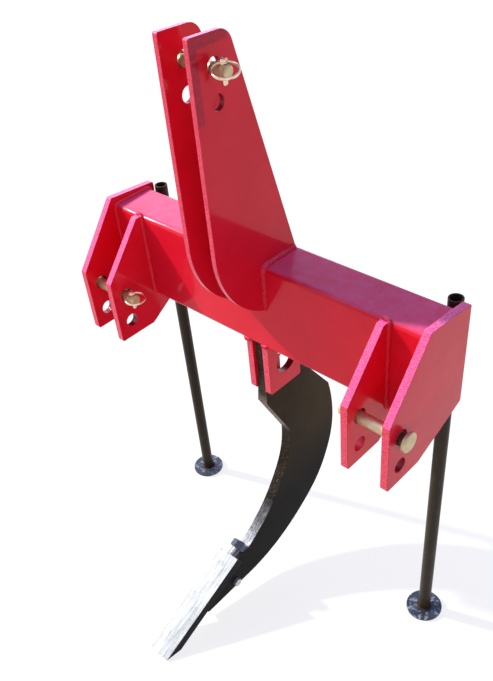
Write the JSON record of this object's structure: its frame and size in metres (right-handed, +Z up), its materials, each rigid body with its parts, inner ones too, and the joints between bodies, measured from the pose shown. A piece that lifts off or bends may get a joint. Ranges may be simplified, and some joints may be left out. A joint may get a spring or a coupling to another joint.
{
  "type": "single-shank subsoiler",
  "caption": "Mounted subsoiler: toolbar with three-point hitch clevises and mast, a curved shank with a chisel point, and sliding parking stands.",
  "frame": {"origin": "middle of the bounding box in plan, on the floor that the stand feet and the point rest on", "axes": "+Z up, +Y to the rear, away from the tractor, +X to the right as seen from in front, along the toolbar and the hitch pins; parked, the machine leans forward onto its point, 5.5 degrees about X"},
  "size_m": [0.8089, 0.5754, 1.2591],
  "materials": {
    "red_paint": "glossy crimson enamel",
    "shank_black": "satin black paint, worn bright along the leading edge",
    "stand_black": "satin black paint",
    "point_steel": "bare steel scoured bright by soil",
    "dark_zinc": "dark oiled steel",
    "bright_zinc": "bright zinc plate",
    "yellow_zinc": "yellow zinc plate"
  },
  "bodies": {
    "frame": {"beam": "red_paint", "shank": "shank_black", "point": "point_steel", "point_nut": "dark_zinc", "hitch_plate_outer_left": "red_paint", "hitch_plate_inner_left": "red_paint", "mast_plate_left": "red_paint", "shank_plate_left": "red_paint", "lower_pin_left": "yellow_zinc", "lower_lynch_pin_left": "yellow_zinc", "stand_sleeve_left": "red_paint", "stand_screw_left": "bright_zinc", "hitch_plate_outer_right": "red_paint", "hitch_plate_inner_right": "red_paint", "mast_plate_right": "red_paint", "shank_plate_right": "red_paint", "lower_pin_right": "yellow_zinc", "lower_lynch_pin_right": "yellow_zinc", "stand_sleeve_right": "red_paint", "stand_screw_right": "bright_zinc", "top_link_pin": "yellow_zinc", "top_lynch_pin": "yellow_zinc", "shank_bolt_front": "bright_zinc", "shank_bolt_rear": "bright_zinc", "nose_bolt": "bright_zinc"},
    "stand_left": {"stand_leg_left": "stand_black", "stand_foot_left": "stand_black"},
    "stand_right": {"stand_leg_right": "stand_black", "stand_foot_right": "stand_black"}
  },
  "joints": [
    {"name": "stand_left_slide", "type": "slide", "parent": "frame", "child": "stand_left", "axis": [0, -0.0964, 0.9953], "range_m": [0, 0.62]},
    {"name": "stand_right_slide", "type": "slide", "parent": "frame", "child": "stand_right", "axis": [0, -0.0964, 0.9953], "range_m": [0, 0.62]}
  ]
}
